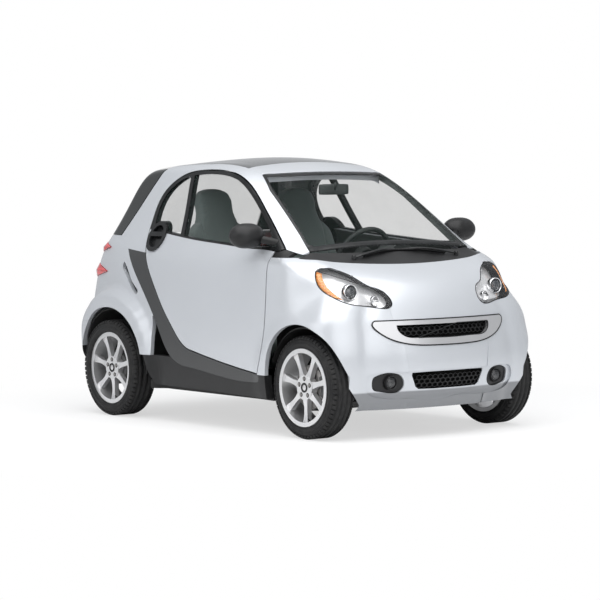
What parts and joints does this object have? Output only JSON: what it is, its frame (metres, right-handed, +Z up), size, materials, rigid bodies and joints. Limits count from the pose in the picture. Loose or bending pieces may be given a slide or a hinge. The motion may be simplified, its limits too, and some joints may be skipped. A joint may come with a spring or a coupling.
{
  "type": "microcar",
  "caption": "Two-seat microcar with hinged doors, lifting rear window, drop-down tailgate, steered front wheels and four turning wheels.",
  "frame": {"origin": "on the ground under the middle of the overall length and width", "axes": "+Z up, +Y towards the rear, +X to the car's left"},
  "size_m": [1.7502, 2.6925, 1.541],
  "materials": {
    "silver_paint": "gloss",
    "black_plastic": "matte",
    "tinted_glass": "gloss",
    "dark_glass": "gloss",
    "charcoal_paint": "gloss",
    "cast_metal": "matte",
    "roof_black": "gloss",
    "lamp_glass": "gloss",
    "red_lamp": "gloss",
    "chassis_black": "matte",
    "engine_metal": "matte",
    "seat_fabric": "matte",
    "dash_plastic": "matte",
    "tyre": "matte",
    "alloy": "satin"
  },
  "bodies": {
    "body": {"side_band_right": "charcoal_paint", "sill_right": "black_plastic", "safety_cell_right": "silver_paint", "front_fender_right": "silver_paint", "rear_fender_right": "silver_paint", "side_band_left": "charcoal_paint", "sill_left": "black_plastic", "safety_cell_left": "silver_paint", "front_fender_left": "silver_paint", "rear_fender_left": "silver_paint", "windscreen": "tinted_glass", "roof_header": "silver_paint", "roof_panel": "roof_black", "cowl": "black_plastic", "front_bumper": "silver_paint", "grille_surround": "silver_paint", "grille_meshes": "black_plastic", "service_panel": "silver_paint", "headlamps": "lamp_glass", "fog_pods": "black_plastic", "fog_lamps": "lamp_glass", "rear_bumper": "silver_paint", "tail_lamps": "red_lamp", "chassis": "chassis_black", "engine": "engine_metal", "front_axle": "cast_metal", "rear_axle": "cast_metal", "wheel_liners": "black_plastic", "rear_valance": "black_plastic", "seat_cushions": "seat_fabric", "seat_backs": "seat_fabric", "dashboard": "dash_plastic", "steering_wheel": "dash_plastic"},
    "door_right": {"door_right": "silver_paint", "window_frame_right": "black_plastic", "door_glass_right": "tinted_glass", "mirror_right": "black_plastic"},
    "door_left": {"door_left": "silver_paint", "window_frame_left": "black_plastic", "door_glass_left": "tinted_glass", "mirror_left": "black_plastic"},
    "rear_window_lid": {"rear_window": "dark_glass"},
    "tailgate_lid": {"tailgate": "silver_paint"},
    "steer_right": {"knuckle_right": "cast_metal"},
    "steer_left": {"knuckle_left": "cast_metal"},
    "wheel_front_right": {"tyre_front_right": "tyre", "rim_front_right": "alloy"},
    "wheel_rear_right": {"tyre_rear_right": "tyre", "rim_rear_right": "alloy"},
    "wheel_front_left": {"tyre_front_left": "tyre", "rim_front_left": "alloy"},
    "wheel_rear_left": {"tyre_rear_left": "tyre", "rim_rear_left": "alloy"}
  },
  "joints": [
    {"name": "door_right_hinge", "type": "hinge", "parent": "body", "child": "door_right", "pos_m": [-0.71402, -0.70474, 0.7], "axis": [0, 0, 1], "range_deg": [0, 70]},
    {"name": "door_left_hinge", "type": "hinge", "parent": "body", "child": "door_left", "pos_m": [0.71402, -0.70474, 0.7], "axis": [0, 0, -1], "range_deg": [0, 70]},
    {"name": "rear_window_hinge", "type": "hinge", "parent": "body", "child": "rear_window_lid", "pos_m": [0, 0.70092, 1.511], "axis": [1, 0, 0], "range_deg": [0, 75]},
    {"name": "tailgate_hinge", "type": "hinge", "parent": "body", "child": "tailgate_lid", "pos_m": [0, 1.3505, 0.56037], "axis": [-1, 0, 0], "range_deg": [0, 90]},
    {"name": "steer_right", "type": "hinge", "parent": "body", "child": "steer_right", "pos_m": [-0.6415, -0.9385, 0.284], "axis": [0, 0, 1], "range_deg": [-33, 33]},
    {"name": "spin_front_right", "type": "hinge", "parent": "steer_right", "child": "wheel_front_right", "pos_m": [-0.6415, -0.9385, 0.284], "axis": [1, 0, 0], "continuous": true},
    {"name": "spin_rear_right", "type": "hinge", "parent": "body", "child": "wheel_rear_right", "pos_m": [-0.6925, 0.9285, 0.288], "axis": [1, 0, 0], "continuous": true},
    {"name": "steer_left", "type": "hinge", "parent": "body", "child": "steer_left", "pos_m": [0.6415, -0.9385, 0.284], "axis": [0, 0, 1], "range_deg": [-33, 33]},
    {"name": "spin_front_left", "type": "hinge", "parent": "steer_left", "child": "wheel_front_left", "pos_m": [0.6415, -0.9385, 0.284], "axis": [1, 0, 0], "continuous": true},
    {"name": "spin_rear_left", "type": "hinge", "parent": "body", "child": "wheel_rear_left", "pos_m": [0.6925, 0.9285, 0.288], "axis": [1, 0, 0], "continuous": true}
  ],
  "couplings": [
    {"joint": "steer_left", "follows": "steer_right", "ratio": 1}
  ]
}
